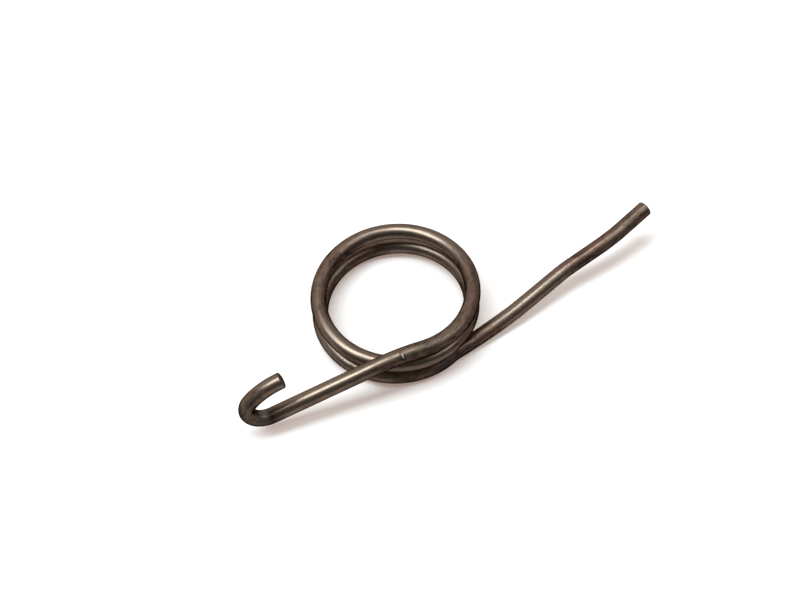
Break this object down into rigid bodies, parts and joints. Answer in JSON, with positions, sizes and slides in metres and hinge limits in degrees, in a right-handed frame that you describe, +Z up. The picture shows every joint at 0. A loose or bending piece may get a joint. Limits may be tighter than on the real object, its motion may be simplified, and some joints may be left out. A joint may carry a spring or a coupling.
{
  "type": "torsion spring",
  "caption": "Torsion spring in round steel wire: an open coil, a straight leg that ends in a hook, and a plain leg with slight bends.",
  "frame": {"origin": "on the axis of the coil, at the level of the table it rests on", "axes": "+Z up from the table as the spring rests, +X towards the end of the plain leg, with the hooked leg running towards -X, and +Y away from the side on which the hooked leg leaves the coil. The axis of the coil leans 2.8 degrees from +Z, towards a heading 55 degrees from +X"},
  "size_m": [0.0569, 0.0212, 0.0098],
  "materials": {
    "steel": "satin drawn wire with a thin brown oxide"
  },
  "bodies": {
    "root": {"spring_wire": "steel"}
  },
  "joints": []
}
